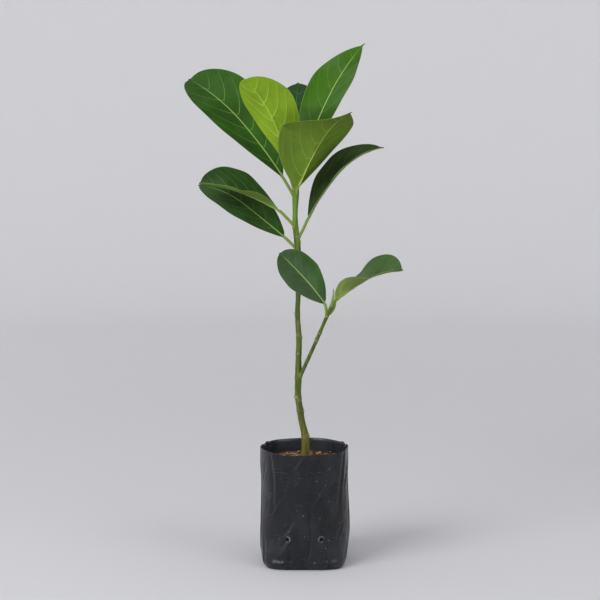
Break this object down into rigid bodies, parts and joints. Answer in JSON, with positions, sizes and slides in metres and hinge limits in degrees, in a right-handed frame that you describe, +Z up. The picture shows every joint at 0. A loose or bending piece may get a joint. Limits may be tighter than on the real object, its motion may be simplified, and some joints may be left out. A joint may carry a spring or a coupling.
{
  "type": "potted jackfruit sapling",
  "caption": "Young jackfruit tree with a slim leaning stem, a low side branch and broad glossy leaves, growing in a round black nursery bag of potting mix.",
  "frame": {"origin": "centre of the bag's flat underside, on the surface it stands on", "axes": "+Z up along the plant, +X to the right as the plant is seen from its front, +Y to its back"},
  "size_m": [0.2307, 0.1534, 0.5528],
  "materials": {
    "black_film": "satin black polythene film",
    "coir_mix": "matt, loose coir chips and fibre",
    "young_bark": "smooth olive-green bark, browner at the foot",
    "green_sheath": "smooth green bud sheath",
    "grown_leaf": "dark green leather-like leaf with a waxy gloss and pale veins",
    "fresh_leaf": "bright yellow-green young leaf, thinner and less glossy"
  },
  "bodies": {
    "root": {"grow_bag": "black_film", "potting_mix": "coir_mix", "trunk": "young_bark", "side_branch": "young_bark", "branch_bud": "green_sheath", "leaf_lowest_left": "grown_leaf", "leaf_middle_right": "grown_leaf", "leaf_middle_left": "grown_leaf", "leaf_upper_left": "grown_leaf", "leaf_upper_right": "grown_leaf", "leaf_back": "grown_leaf", "leaf_young": "fresh_leaf", "leaf_front": "fresh_leaf", "leaf_branch_left": "grown_leaf", "leaf_branch_right": "grown_leaf"}
  },
  "joints": []
}
